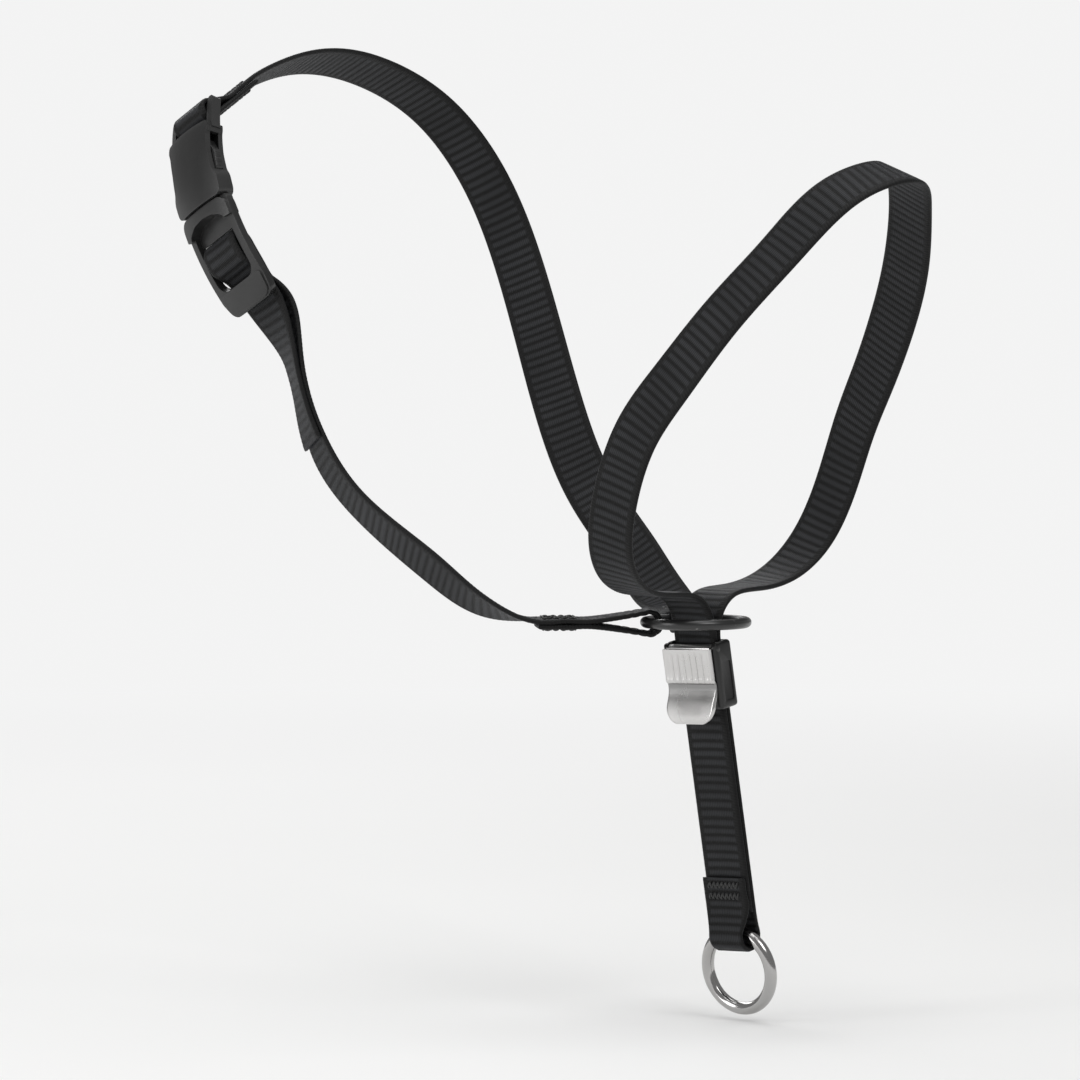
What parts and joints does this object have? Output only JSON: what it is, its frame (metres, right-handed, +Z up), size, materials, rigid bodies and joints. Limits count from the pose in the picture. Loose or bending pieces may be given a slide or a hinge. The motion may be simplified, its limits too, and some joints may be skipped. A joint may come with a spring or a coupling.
{
  "type": "dog head halter",
  "caption": "Webbing head halter with a nose loop and a buckled neck loop joined by a chin ring, a cam clamp on a short control strap and a leash ring.",
  "frame": {"origin": "centre of the ring under the chin, where the nose loop and the neck loop meet", "axes": "+X forward along the dog's nose, +Y to the dog's left, +Z up"},
  "size_m": [0.1887, 0.1177, 0.2323],
  "materials": {
    "webbing": "ribbed nylon webbing, near black",
    "thread": "black polyester thread",
    "buckle_plastic": "satin moulded acetal, dark grey",
    "clamp_plastic": "satin moulded nylon, black",
    "nickel": "satin nickel plate",
    "ring_steel": "bright nickel plate",
    "black_metal": "black coated steel"
  },
  "bodies": {
    "nose_loop": {"nose_strap": "webbing", "leash_end_stitching": "thread"},
    "leash_ring_body": {"leash_ring": "ring_steel"},
    "clamp": {"clamp_body": "clamp_plastic", "clamp_pin": "black_metal"},
    "lever": {"clamp_lever": "nickel"},
    "neck_loop": {"chin_ring": "black_metal", "neck_strap_left": "webbing", "neck_strap_right": "webbing", "chin_stitching_left": "thread", "chin_stitching_right": "thread", "buckle_stitching": "thread", "buckle_female": "buckle_plastic"},
    "slider": {"buckle_male": "buckle_plastic"},
    "upper_prong": {"prong_upper": "buckle_plastic"},
    "lower_prong": {"prong_lower": "buckle_plastic"}
  },
  "joints": [
    {"name": "leash_ring_swing", "type": "hinge", "parent": "nose_loop", "child": "leash_ring_body", "pos_m": [0.00266, 0.01167, -0.07526], "axis": [0.9994, -0.0056, 0.0344], "range_deg": [-90, 90]},
    {"name": "clamp_slide", "type": "slide", "parent": "nose_loop", "child": "clamp", "axis": [0.0349, 0.1615, -0.9863], "range_m": [0, 0.041]},
    {"name": "clamp_lever_open", "type": "hinge", "parent": "clamp", "child": "lever", "pos_m": [0.00021, -0.00166, -0.00625], "axis": [-0.9994, 0.0056, -0.0344], "range_deg": [0, 75]},
    {"name": "neck_loop_tilt", "type": "hinge", "parent": "nose_loop", "child": "neck_loop", "pos_m": [0, 0, 0], "axis": [0, 1, 0], "range_deg": [-12, 15]},
    {"name": "buckle_release", "type": "hinge", "parent": "neck_loop", "child": "slider", "pos_m": [-0.095, 0.0004, 0.0983], "axis": [0.8848, -0.1371, 0.4454], "range_deg": [0, 22.5], "deforming": ["neck_strap_right"]},
    {"name": "upper_prong_squeeze", "type": "hinge", "parent": "slider", "child": "upper_prong", "pos_m": [-0.09989, -0.05834, 0.10048], "axis": [-0.1539, -0.9881, 0.0015], "range_deg": [0, 6], "deforming": ["prong_upper"]},
    {"name": "lower_prong_squeeze", "type": "hinge", "parent": "slider", "child": "lower_prong", "pos_m": [-0.10821, -0.05706, 0.0963], "axis": [0.1539, 0.9881, -0.0015], "range_deg": [0, 6], "deforming": ["prong_lower"]}
  ],
  "couplings": [
    {"joint": "lower_prong_squeeze", "follows": "upper_prong_squeeze", "ratio": 1}
  ]
}
